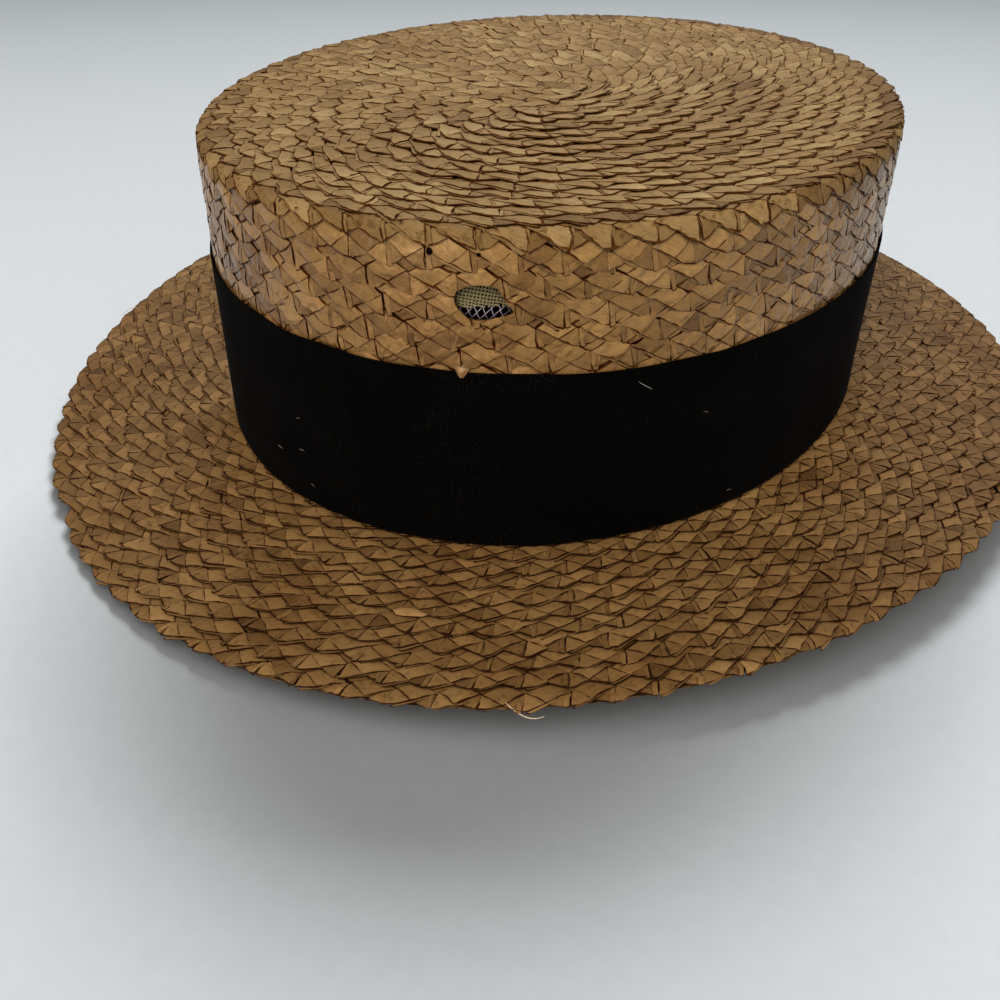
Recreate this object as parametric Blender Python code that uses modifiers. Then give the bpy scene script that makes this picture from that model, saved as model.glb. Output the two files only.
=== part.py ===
# Straw boater hat, in metres, +Z up, lying on its brim.
# The head oval is long along Y and the wearer looks towards -Y.
# Every ring of the hat is an oval: x = u cos(a), y = (u + oval_stretch) sin(a),
# so u is a half width across the head and rings keep a constant distance from each other.

import math

import bpy
import bmesh
from mathutils import Vector

# Crown
crown_half_width = 0.085
oval_stretch = 0.016
crown_height = 0.074
crown_flare = 0.002
crown_wall = 0.0024
tip_thickness = 0.0024

# Brim
brim_width = 0.049
brim_thickness = 0.0026
brim_edge_round = 0.0009
brim_wave = 0.0030
brim_wave_turn = math.radians(-23.0)
brim_lift = 0.0007

# Sewn rows of plait
tip_row = 0.0047
wall_row = 0.0052
brim_row = 0.0049
row_step = 0.0006

# Ribbon
band_height = 0.046
band_thickness = 0.0010
band_lap = 0.022
band_lift = 0.0006

# Worn places: a hole in the crown wall, and a bite out of the brim's edge
hole_turn = math.radians(-65.4)
hole_below_tip = 0.0148
hole_width = 0.0112
hole_height = 0.0070
notch_turn = math.radians(-115.8)
notch_width = 0.0080
notch_depth = 0.0018

# Lining gauze behind the hole
gauze_margin = 0.0060
gauze_thickness = 0.0010

touch_gap = 0.0003
oval_segments = 48
seam_width = 0.00001

# The hole's ragged outline: distance from its middle, as a share of its half size
hole_outline = (
    {"turn": 0, "share": 1.00},
    {"turn": 36, "share": 0.92},
    {"turn": 72, "share": 1.00},
    {"turn": 108, "share": 1.04},
    {"turn": 144, "share": 0.90},
    {"turn": 180, "share": 1.00},
    {"turn": 216, "share": 1.06},
    {"turn": 252, "share": 0.94},
    {"turn": 288, "share": 1.00},
    {"turn": 324, "share": 1.08},
)

# Heights and half widths that follow from the sizes above
brim_top = brim_thickness + brim_wave - brim_lift
foot_z = brim_top + touch_gap
tip_z = brim_top + crown_height
foot_half_width = crown_half_width + crown_flare
opening_half_width = foot_half_width - crown_wall
brim_half_width = foot_half_width + brim_width
band_top = brim_top + band_height


def clear_scene():
    for obj in list(bpy.data.objects):
        bpy.data.objects.remove(obj, do_unlink=True)


def new_collection(name):
    collection = bpy.data.collections.new(name)
    bpy.context.scene.collection.children.link(collection)
    return collection


def make_material(name, color, roughness):
    material = bpy.data.materials.new(name)
    material.use_nodes = True
    shader = material.node_tree.nodes["Principled BSDF"]
    shader.inputs["Base Color"].default_value = (*color, 1.0)
    shader.inputs["Roughness"].default_value = roughness
    shader.inputs["Metallic"].default_value = 0.0
    return material


def add_object(name, mesh, collection, material=None):
    obj = bpy.data.objects.new(name, mesh)
    collection.objects.link(obj)
    if material:
        mesh.materials.append(material)
    return obj


def evaluated_copy(obj):
    depsgraph = bpy.context.evaluated_depsgraph_get()
    return bpy.data.meshes.new_from_object(obj.evaluated_get(depsgraph))


# A point of the hat at half width u, turned a from +X, at height z
def oval_point(u, turn, z):
    return Vector((u * math.cos(turn), (u + oval_stretch) * math.sin(turn), z))


# Half width of the crown wall's outer face at height z
def wall_half_width(z):
    share = (tip_z - z) / (tip_z - foot_z)
    return crown_half_width + crown_flare * share


# The brim's slow wave: none at the crown, full at the edge
def brim_wave_at(u, turn):
    share = min(max((u - foot_half_width) / (brim_width - brim_edge_round), 0.0), 1.0)
    edge = brim_lift + brim_wave * math.cos(2.0 * (turn - brim_wave_turn))
    return edge * share ** 1.5


# Turns a profile of (u, z) points round the axis, then stretches the circles to ovals
def turned_oval(name, profile, collection, material, closed=False, wave=None):
    count = len(profile)
    edges = [(i, i + 1) for i in range(count - 1)]
    if closed:
        edges.append((count - 1, 0))
    line = bpy.data.meshes.new(name + "_profile")
    line.from_pydata([(u, 0.0, z) for u, z in profile], edges, [])
    guide = add_object(name + "_profile", line, collection)
    screw = guide.modifiers.new("turn", "SCREW")
    screw.axis = "Z"
    screw.angle = 2.0 * math.pi
    screw.steps = oval_segments
    screw.render_steps = oval_segments
    screw.use_merge_vertices = False
    screw.use_normal_calculate = False
    screw.merge_threshold = 0.000001
    mesh = evaluated_copy(guide)
    bpy.data.objects.remove(guide, do_unlink=True)

    for vertex in mesh.vertices:
        u = math.hypot(vertex.co.x, vertex.co.y)
        turn = math.atan2(vertex.co.y, vertex.co.x)
        lift = wave(u, turn) if wave else 0.0
        vertex.co = oval_point(u, turn, vertex.co.z + lift)

    solid = bmesh.new()
    solid.from_mesh(mesh)
    bmesh.ops.remove_doubles(solid, verts=solid.verts, dist=5.0 * seam_width)
    bmesh.ops.recalc_face_normals(solid, faces=solid.faces)
    solid.to_mesh(mesh)
    solid.free()
    mesh.name = name
    mesh.shade_smooth()
    mesh.set_sharp_from_angle(angle=math.radians(35.0))
    return add_object(name, mesh, collection, material)


def boolean_cut(obj, cutter):
    cut = obj.modifiers.new("cut_" + cutter.name, "BOOLEAN")
    cut.operation = "DIFFERENCE"
    cut.solver = "EXACT"
    cut.object = cutter


def mark_cutter(obj):
    obj.hide_render = True
    obj.display_type = "WIRE"


# Rows of the flat tip: each inner row lies over the next outer one
def tip_rows():
    count = round(crown_half_width / tip_row)
    pitch = crown_half_width / count
    points = []
    for row in range(count):
        inner = max(row * pitch, seam_width)
        points.append((inner, tip_z - row_step))
        points.append(((row + 1) * pitch, tip_z))
    return points


# Rows of the wall down to the ribbon: each upper row lies over the next lower one.
# Under the ribbon the wall is plain.
def wall_rows():
    top = tip_z - row_step
    bottom = band_top + band_lift
    count = round((top - bottom) / wall_row)
    pitch = (top - bottom) / count
    points = []
    for row in range(count):
        upper = top - row * pitch
        lower = upper - pitch
        points.append((wall_half_width(upper) - row_step, upper))
        points.append((wall_half_width(lower), lower))
    return points


def make_crown(collection, material):
    under_tip = tip_z - tip_thickness
    profile = tip_rows() + wall_rows()
    profile.append((foot_half_width, foot_z))
    profile.append((opening_half_width, foot_z))
    profile.append((crown_half_width - crown_wall, under_tip))
    profile.append((seam_width, under_tip))
    return turned_oval("crown", profile, collection, material)


# The brim lies under the crown's foot and runs out from it in rows
def make_brim(collection, material):
    count = round(brim_width / brim_row)
    pitch = brim_width / count
    profile = [(opening_half_width, brim_top)]
    for row in range(count):
        inner = foot_half_width + row * pitch
        low = brim_top - (row_step if row else 0.0)
        profile.append((inner, low))
        profile.append((inner + pitch, brim_top))
    under = brim_top - brim_thickness
    profile.append((brim_half_width, under + brim_edge_round))
    profile.append((brim_half_width - brim_edge_round, under))
    profile.append((brim_half_width - brim_width / 3.0, under))
    profile.append((brim_half_width - brim_width * 2.0 / 3.0, under))
    profile.append((foot_half_width, under))
    profile.append((opening_half_width, under))
    return turned_oval("brim", profile, collection, material, closed=True, wave=brim_wave_at)


# The ribbon is one strip wound once round the wall, its outer end lapped over its inner end at the back
def make_band(collection, material):
    back = math.pi / 2.0
    half_lap = 0.5 * band_lap / foot_half_width
    ramp = half_lap
    start = back - half_lap
    end = back + 2.0 * math.pi + half_lap
    count = round((end - start) / (2.0 * math.pi) * oval_segments)
    strip = bmesh.new()
    bmesh.ops.create_grid(strip, x_segments=count, y_segments=1, size=0.5)
    low = foot_z + band_lift
    for vertex in strip.verts:
        along = vertex.co.x + 0.5
        up = vertex.co.y + 0.5
        turn = start + (end - start) * along
        lapped = min(max((turn - (end - 2.0 * half_lap - ramp)) / ramp, 0.0), 1.0)
        z = low + (band_top - low) * up
        off = touch_gap + lapped * (band_thickness + touch_gap)
        vertex.co = oval_point(wall_half_width(z) + off, turn, z)
    mesh = bpy.data.meshes.new("hat_band")
    strip.to_mesh(mesh)
    strip.free()
    band = add_object("hat_band", mesh, collection, material)
    wall = band.modifiers.new("cloth", "SOLIDIFY")
    wall.thickness = band_thickness
    wall.offset = 1.0
    mesh.shade_smooth()
    return band


def hole_centre(u_offset):
    z = tip_z - hole_below_tip
    return oval_point(wall_half_width(z) + u_offset, hole_turn, z)


# The direction square to an oval of half width u, at the point turned a
def outward(u, turn):
    return Vector(((u + oval_stretch) * math.cos(turn), u * math.sin(turn), 0.0)).normalized()


# A ragged plug through the wall, along the wall's own direction there
def make_hole_cutter(collection):
    plug = bmesh.new()
    bmesh.ops.create_cone(plug, cap_ends=True, segments=len(hole_outline), radius1=1.0, radius2=1.0, depth=1.0)
    direction = outward(crown_half_width, hole_turn)
    sideways = Vector((0.0, 0.0, 1.0)).cross(direction)
    centre = hole_centre(-0.5 * crown_wall)
    for vertex in plug.verts:
        turn = math.degrees(math.atan2(vertex.co.y, vertex.co.x)) % 360.0
        nearest = min(hole_outline, key=lambda row: abs((turn - row["turn"] + 180.0) % 360.0 - 180.0))
        across = vertex.co.x * nearest["share"] * 0.5 * hole_width
        up = vertex.co.y * nearest["share"] * 0.5 * hole_height
        through = vertex.co.z * 5.0 * crown_wall
        vertex.co = centre + sideways * across + Vector((0.0, 0.0, up)) + direction * through
    bmesh.ops.recalc_face_normals(plug, faces=plug.faces)
    mesh = bpy.data.meshes.new("wall_hole")
    plug.to_mesh(mesh)
    plug.free()
    cutter = add_object("wall_hole", mesh, collection)
    mark_cutter(cutter)
    return cutter


# A bite at the brim's edge where the outermost plait ends
def make_notch_cutter(collection):
    bpy.ops.mesh.primitive_cube_add(size=1.0)
    cutter = bpy.context.active_object
    cutter.name = "edge_notch"
    for owner in list(cutter.users_collection):
        owner.objects.unlink(cutter)
    collection.objects.link(cutter)
    out = outward(brim_half_width, notch_turn)
    height = 4.0 * (brim_thickness + brim_wave)
    edge = oval_point(brim_half_width, notch_turn, 0.5 * brim_top)
    cutter.scale = (2.0 * notch_depth, notch_width, height)
    cutter.rotation_euler = (0.0, 0.0, math.atan2(out.y, out.x))
    cutter.location = edge
    mark_cutter(cutter)
    return cutter


# A scrap of lining gauze that lies on the wall's inner face behind the hole
def make_gauze(collection, material):
    columns = 6
    rows = 3
    half_across = 0.5 * hole_width + gauze_margin
    half_up = 0.5 * hole_height + gauze_margin
    sheet = bmesh.new()
    bmesh.ops.create_grid(sheet, x_segments=columns, y_segments=rows, size=0.5)
    middle = tip_z - hole_below_tip
    reach = half_across / (crown_half_width + oval_stretch * math.cos(hole_turn) ** 2)
    for vertex in sheet.verts:
        turn = hole_turn + 2.0 * vertex.co.x * reach
        z = middle + 2.0 * vertex.co.y * half_up
        inner_u = wall_half_width(z) - crown_wall - touch_gap
        vertex.co = oval_point(inner_u, turn, z)
    mesh = bpy.data.meshes.new("lining_gauze")
    sheet.to_mesh(mesh)
    sheet.free()
    gauze = add_object("lining_gauze", mesh, collection, material)
    wall = gauze.modifiers.new("cloth", "SOLIDIFY")
    wall.thickness = gauze_thickness
    wall.offset = -1.0
    mesh.shade_smooth()
    return gauze


def main():
    clear_scene()
    parts = new_collection("straw_boater_hat")
    cutters = new_collection("cutters")
    crown_straw = make_material("crown_straw", (0.36, 0.22, 0.10), 0.5)
    brim_straw = make_material("brim_straw", (0.28, 0.17, 0.08), 0.55)
    ribbon = make_material("ribbon_grosgrain", (0.012, 0.012, 0.016), 0.7)
    gauze = make_material("lining_gauze", (0.14, 0.13, 0.07), 0.9)

    crown = make_crown(parts, crown_straw)
    boolean_cut(crown, make_hole_cutter(cutters))
    brim = make_brim(parts, brim_straw)
    boolean_cut(brim, make_notch_cutter(cutters))
    make_band(parts, ribbon)
    make_gauze(parts, gauze)


main()
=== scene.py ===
# Straw boater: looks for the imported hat. Plaited straw, ribbed ribbon, worn hole with gauze.
import math
from functools import partial

import bmesh
import bpy
import numpy as np
from mathutils import Matrix, Vector


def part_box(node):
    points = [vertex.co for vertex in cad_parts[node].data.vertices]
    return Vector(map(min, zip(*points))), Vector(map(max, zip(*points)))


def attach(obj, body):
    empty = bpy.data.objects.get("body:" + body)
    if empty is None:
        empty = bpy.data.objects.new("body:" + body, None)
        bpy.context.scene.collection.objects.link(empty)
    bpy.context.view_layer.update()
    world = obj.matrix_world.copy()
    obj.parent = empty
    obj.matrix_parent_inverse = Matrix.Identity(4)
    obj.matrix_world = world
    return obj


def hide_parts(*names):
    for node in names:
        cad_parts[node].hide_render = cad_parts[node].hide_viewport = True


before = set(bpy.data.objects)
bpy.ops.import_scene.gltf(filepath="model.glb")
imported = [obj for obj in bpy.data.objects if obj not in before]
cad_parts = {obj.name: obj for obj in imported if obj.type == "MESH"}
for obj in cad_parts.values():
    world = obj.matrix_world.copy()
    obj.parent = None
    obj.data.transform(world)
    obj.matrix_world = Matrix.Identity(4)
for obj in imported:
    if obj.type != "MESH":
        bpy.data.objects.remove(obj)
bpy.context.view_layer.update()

mm = 0.001

# The hat's own form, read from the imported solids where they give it
crownLow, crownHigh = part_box("crown")
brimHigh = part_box("brim")[1]
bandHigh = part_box("hat_band")[1]
hat = {
    "flare": 2.0 * mm,  # the wall leans out this much towards its foot
    "cornerRadius": 1.4 * mm,
    "wallThick": 2.4 * mm,
    "brimThick": 2.6 * mm,
    "wave": 3.0 * mm,  # slow warp of the old brim
    "waveTurn": math.radians(-23.0),
    "waveLift": 0.7 * mm,
    "edgeCurl": 1.1 * mm,  # the brim's last row turns down
    "curlWidth": 2.6 * mm,
}
footHalf = crownHigh.x
ovalStretch = crownHigh.y - crownHigh.x
topHalf = footHalf - hat["flare"]
tipZ = crownHigh.z
footZ = crownLow.z
brimWidth = brimHigh.x - footHalf
brimTop = hat["brimThick"] + hat["wave"] - hat["waveLift"]

# Worn places: a hole through the wall, and a bite where the outermost row ends
hole = {
    "turn": math.radians(-65.4),
    "down": 14.8 * mm,
    "halfWidth": 5.6 * mm,
    "halfHeight": 3.5 * mm,
    # its ragged outline: share of the half size, by degrees from its right end
    "degrees": (0, 36, 65, 110, 148, 180, 218, 249, 270, 298, 337, 360),
    "share": (0.80, 0.77, 1.07, 1.11, 1.09, 0.97, 0.92, 1.07, 1.00, 0.96, 1.16, 0.80),
}
notch = {"turn": math.radians(-115.8), "halfWidth": 4.5 * mm, "depth": 1.9 * mm, "reach": 7 * mm}


def smoothStep(value):
    value = np.clip(value, 0.0, 1.0)
    return value * value * (3 - 2 * value)


# Crown profile: s runs out over the flat tip, round the corner, then down the wall; h is height off it.
# The middle of the tip is a short slit, towards the front and right, where the plait starts.
cornerStart = topHalf - hat["cornerRadius"]
cornerLength = hat["cornerRadius"] * math.pi / 2
wallStart = cornerStart + cornerLength
tipMiddle = {"stretch": 0.6, "grown": 75 * mm, "forward": -8.5 * mm, "right": 3.5 * mm}


def crownPoint(s, turn, h):
    r = hat["cornerRadius"]
    bend = np.clip((s - cornerStart) / r, 0.0, math.pi / 2)
    down = np.maximum(s - wallStart, 0.0)
    u = np.minimum(s, cornerStart) + (r + h) * np.sin(bend) + hat["flare"] * down / (tipZ - footZ)
    z = tipZ - r + (r + h) * np.cos(bend) - down
    grown = smoothStep(s / tipMiddle["grown"])
    stretch = ovalStretch * (tipMiddle["stretch"] + (1 - tipMiddle["stretch"]) * grown)
    y = (u + stretch) * np.sin(turn) + tipMiddle["forward"] * (1 - grown)
    x = u * np.cos(turn) + tipMiddle["right"] * (1 - grown)
    return np.stack([x, y, z], axis=-1)


# Brim: s runs out from the crown's foot, h is height off the top face
def brimPoint(s, turn, h):
    share = np.clip(s / brimWidth, 0.0, 1.05)
    wave = (hat["waveLift"] + hat["wave"] * np.cos(2 * (turn - hat["waveTurn"]))) * share ** 1.5
    off = np.remainder(turn - notch["turn"] + math.pi, 2 * math.pi) - math.pi
    bite = np.exp(-(off * (footHalf + s) / notch["halfWidth"]) ** 2)
    s = s - notch["depth"] * bite * smoothStep((s - brimWidth + notch["reach"]) / notch["reach"])
    over = np.maximum(s - brimWidth + hat["curlWidth"], 0.0) / hat["curlWidth"]
    top = smoothStep((h + hat["brimThick"]) / hat["brimThick"])
    u = footHalf + s
    z = brimTop + wave + h - hat["edgeCurl"] * over ** 2 * top
    return np.stack([u * np.cos(turn), (u + ovalStretch) * np.sin(turn), z], axis=-1)


# Profile distance of a place on the wall that lies this far below the tip
def wallPlace(down):
    return wallStart - hat["cornerRadius"] + down


# Metres along the wall for each radian of turn, at the hole
holeReach = math.hypot(topHalf * math.sin(hole["turn"]), (topHalf + ovalStretch) * math.cos(hole["turn"]))


# Where a point of the wall lies from the hole's middle: across, up, and as a share of its outline
def fromHole(s, turn):
    across = (np.remainder(turn - hole["turn"] + math.pi, 2 * math.pi) - math.pi) * holeReach
    up = wallPlace(hole["down"]) - s
    x, y = across / hole["halfWidth"], up / hole["halfHeight"]
    outline = np.interp(np.degrees(np.arctan2(y, x)) % 360, hole["degrees"], hole["share"])
    return across, up, np.hypot(x, y) / outline


# Moves what reaches into the hole back to its edge
def clearHole(s, turn, margin=1.0):
    across, up, share = fromHole(s, turn)
    push = np.where(share < margin, margin / np.maximum(share, 0.05) - 1, 0.0)
    return s - up * push, turn + across * push / holeReach


# Smooth noise in space: random values on a lattice, blended; the same for the same seed
def spaceNoise(points, size, seed, kinds=3, cells=24):
    table = np.random.default_rng(seed).uniform(-1, 1, (cells, cells, cells, kinds))
    at = points / size
    cell = np.floor(at).astype(int)
    part = at - cell
    part = part * part * (3 - 2 * part)
    total = np.zeros((*points.shape[:-1], kinds))
    for corner in range(8):
        step = np.array([corner & 1, corner >> 1 & 1, corner >> 2 & 1])
        weight = np.prod(np.where(step == 1, part, 1 - part), axis=-1)
        i, j, k = np.moveaxis((cell + step) % cells, -1, 0)
        total += weight[..., None] * table[i, j, k]
    return total


# Shaders want a linear colour: it is worked out from sRGB hex, or from a number for a grey
def linearColor(color):
    if not isinstance(color, str):
        return (color, color, color, 1.0)
    values = [int(color[i:i + 2], 16) / 255 for i in (0, 2, 4)]
    return tuple(v / 12.92 if v <= 0.04045 else ((v + 0.055) / 1.055) ** 2.4 for v in values) + (1.0,)


# Feeds inputs of a node, each from a value or from another node's output. i0, i1 and so on name an
# input by its number.
def feed(node, **links):
    for key, value in links.items():
        socket = node.inputs[int(key[1:]) if key[1:].isdigit() else key.replace("_", " ")]
        if isinstance(value, bpy.types.NodeSocket):
            node.id_data.links.new(value, socket)
        else:
            socket.default_value = linearColor(value) if isinstance(value, str) else value


# Adds one node: kind is its type after ShaderNode, and the setting "stops" is a colour ramp's places
# and colours. It gives back the output called get.
def addNode(tree, kind, settings=None, get=0, **links):
    node = tree.nodes.new("ShaderNode" + kind)
    for key, value in (settings or {}).items():
        if key != "stops":
            setattr(node, key, value)
            continue
        elements = node.color_ramp.elements
        while len(elements) < len(value):
            elements.new(0.5)
        for element, (at, color) in zip(elements, value):
            element.position = at
            element.color = linearColor(color)
    feed(node, **links)
    return node.outputs[get]


multiply = {"data_type": "RGBA", "blend_type": "MULTIPLY"}
cover = {"data_type": "RGBA", "blend_type": "MIX"}
mixed = 2  # the Mix node's colour output


def newMaterial(name):
    material = bpy.data.materials.new(name)
    material.use_nodes = True
    tree = material.node_tree
    return material, partial(addNode, tree), tree.nodes["Principled BSDF"]


# Flat straw plait, split and pressed: silky along the fibre, dull in the folds, where grime and painted shade
# darken it.
# Each strand carries its place (along, across, seed), its tone and how far it is buried.
def strawMaterial(name, look):
    material, add, shader = newMaterial(name)
    place = add("Attribute", {"attribute_name": "strand"}, "Vector")
    tone = add("Attribute", {"attribute_name": "tone"}, "Fac")
    buried = add("Attribute", {"attribute_name": "buried"}, "Fac")
    along = add("SeparateXYZ", get="X", Vector=place)
    across = add("SeparateXYZ", get="Y", Vector=place)
    coord = add("TexCoord", get="Object")

    # straw fibres run the length of a strand, about 0.25 mm apart
    stretched = add("VectorMath", {"operation": "MULTIPLY"}, i0=place, i1=(3.4, 17.0, 40.0))
    fibre = add("TexNoise", Vector=stretched, Scale=1.0, Detail=3.0, Roughness=0.6)
    # soft dents of the pressed straw, cloudy ageing, and grime
    crinkle = add("TexNoise", Vector=coord, Scale=1 / look["crinkleSize"], Detail=1.0, Roughness=0.4,
                  Distortion=0.4)
    cloud = add("TexNoise", Vector=coord, Scale=1 / (26.3 * mm), Detail=3.0, Roughness=0.55)
    speck = add("TexNoise", Vector=coord, Scale=1 / (1.923 * mm), Detail=3.0, Roughness=0.7)

    tones = [(0.0, look["dark"]), (0.45, look["mid"]), (0.8, look["light"]), (1.0, look["pale"])]
    color = add("ValToRGB", {"stops": tones}, Fac=tone)
    for source, share, stops in (
            (fibre, look["grain"], [(0.3, 0.62), (0.55, 1.0), (0.8, 1.2)]),
            (cloud, look["ageing"], [(0.32, "b99a78"), (0.6, 1.0)]),
            (speck, look["grime"], [(0.34, "8a6242"), (0.46, 1.0)])):
        layer = add("ValToRGB", {"stops": stops}, Fac=source)
        color = add("Mix", multiply, mixed, i0=share, i6=color, i7=layer)
    # painted shade: the buried end of a strand, where it runs under the next, darkens towards a brown shade
    # colour
    paintedBuriedShade = add("ValToRGB", {"stops": [(0.2, 0.0), (1.0, look["sink"])]}, Fac=buried)
    color = add("Mix", cover, mixed, i0=paintedBuriedShade, i6=color, i7=look["buriedShadowColor"])

    # painted shade, partly grime: a thin dark line along a strand's edges and at its fold, where strands
    # meet, now finer and now broader
    far = add("Math", {"operation": "SUBTRACT"}, i0=1.0, i1=across)
    side = add("Math", {"operation": "MINIMUM"}, i0=across, i1=far)
    fold = add("Math", {"operation": "MULTIPLY"}, i0=along, i1=1.3)
    edge = add("Math", {"operation": "MINIMUM"}, i0=side, i1=fold)
    uneven = add("Math", {"operation": "MULTIPLY_ADD"}, i0=crinkle, i1=0.22, i2=-0.11)
    edge = add("Math", {"operation": "ADD"}, i0=edge, i1=uneven)
    line = look["line"]
    stops = [(0.0, line), (look["lineWidth"] * 0.5, line), (look["lineWidth"], 1.0)]
    shine = add("ValToRGB", {"stops": stops}, Fac=edge)
    color = add("Mix", multiply, mixed, i0=1.0, i6=color, i7=shine)
    # painted shade, partly grime: ambient occlusion darkens the crevices between strands
    crevice = add("AmbientOcclusion", {"samples": 3, "only_local": True}, "AO", Distance=1.1 * mm)
    dirtAndShade = add("ValToRGB", {"stops": [(0.30, line), (0.78, 1.0)]}, Fac=crevice)
    color = add("Mix", multiply, mixed, i0=look["dirtAndShade"], i6=color, i7=dirtAndShade)
    # pinholes right through the straw, painted near-black as the shade of the hollow behind; they and the
    # dark edge lines don't shine
    for middle, radius in look.get("pinholes", ()):
        away = add("VectorMath", {"operation": "DISTANCE"}, "Value", i0=coord, i1=middle)
        near = add("MapRange", Value=away, i1=radius * 0.75, i2=radius, i3=0.0, i4=1.0)
        color = add("Mix", cover, mixed, i0=near, i6="0b0503", i7=color)
        shine = add("Mix", cover, mixed, i0=near, i6="000000", i7=shine)

    smooth, worn = look["rough"]
    rough = add("MapRange", Value=fibre, i1=0.3, i2=0.75, i3=smooth, i4=worn)
    dull = add("Math", {"operation": "SUBTRACT"}, i0=1.0, i1=shine)
    dull = add("Math", {"operation": "MULTIPLY"}, i0=dull, i1=0.45)
    rough = add("Math", {"operation": "ADD"}, i0=rough, i1=dull)
    feed(shader, Base_Color=color, Roughness=rough, Specular_IOR_Level=look["gloss"], Specular_Tint="ffd9a8")
    if "pinholes" in look:
        tint = add("Mix", multiply, mixed, i0=1.0, i6=shine, i7="ffd9a8")
        feed(shader, Specular_Tint=tint)
    if look["coat"]:
        coat = add("Math", {"operation": "MULTIPLY"}, i0=shine, i1=look["coat"])
        feed(shader, Coat_Weight=coat, Coat_Roughness=0.28, Coat_Tint="ffe2b0")
    dents = add("Bump", Strength=look["crinkle"], Distance=look["dent"], Height=crinkle)
    bump = add("Bump", Strength=look["bump"], Distance=0.12 * mm, Height=fibre, Normal=dents)
    feed(shader, Normal=bump)
    return material


def openMesh(mesh):
    bm = bmesh.new()
    bm.from_mesh(mesh)
    return bm


# Ends the work on a bmesh: into a mesh, or into a new one of that name
def closeMesh(bm, mesh):
    mesh = bpy.data.meshes.new(mesh) if isinstance(mesh, str) else mesh
    bm.to_mesh(mesh)
    bm.free()
    return mesh


# What each vertex of a strand carries
strandKeys = ("along", "across", "tile", "buried")


# A strand tile: a crowned grid moved onto four corners, then given the straw's thickness.
# corners run start-low, end-low, end-high, start-high; lifts are their heights. The low edge bulges
# out over its first part, and its start is blunt.
def strandTile(bm, spec, layers):
    across, along = spec["cuts"]
    bulge, span = spec.get("bulge", (0.0, 1.0))
    grid = bmesh.ops.create_grid(bm, x_segments=along, y_segments=across, size=0.5)["verts"]
    a, b, c, d = [Vector((*xy, lift)) for xy, lift in zip(spec["corners"], spec["lifts"])]
    for v in grid:
        s, t = v.co.x + 0.5, v.co.y + 0.5
        v[layers["along"]] = s
        v[layers["across"]] = t
        v[layers["tile"]] = spec["tile"]
        v[layers["buried"]] = spec["buried"][0] * (1 - s) + spec["buried"][1] * s
        dome = 4 * t * (1 - t) * spec["dome"] + 4 * s * (1 - s) * spec["arch"]
        out = bulge * math.sin(math.pi * min(s / span, 1.0)) - spec.get("blunt", 0.0) * max(0.0, 1 - 4 * s)
        v.co = a.lerp(b, s).lerp(d.lerp(c, s), t) + Vector((0, -out * (1 - t) ** 2, dome))
    faces = list({f for v in grid for f in v.link_faces})
    bmesh.ops.solidify(bm, geom=faces, thickness=spec["thick"])


# The plait's repeat, seen from its face: x along the row, -y to the toothed edge.
# A strand comes down to the tooth, pleats and goes back up; strands cross over and under by turns.
plait = {
    "pitch": 8.7 * mm,  # one tooth to the next
    "tooth": 2.3 * mm,
    "strandRise": 5.0 * mm,  # the strand's width measured up the row
    "lean": -0.7 * mm,  # the tooth's tip leans back along the row
    "thick": 0.20 * mm,
    "bulge": 0.12 * mm,
    "blunt": 0.50 * mm,
    "dome": 0.12 * mm,  # each straw is a little crowned
    "pleat": 0.95 * mm,  # width of the fold in a tooth
    "splitPleat": 1.35 * mm,
}


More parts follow.
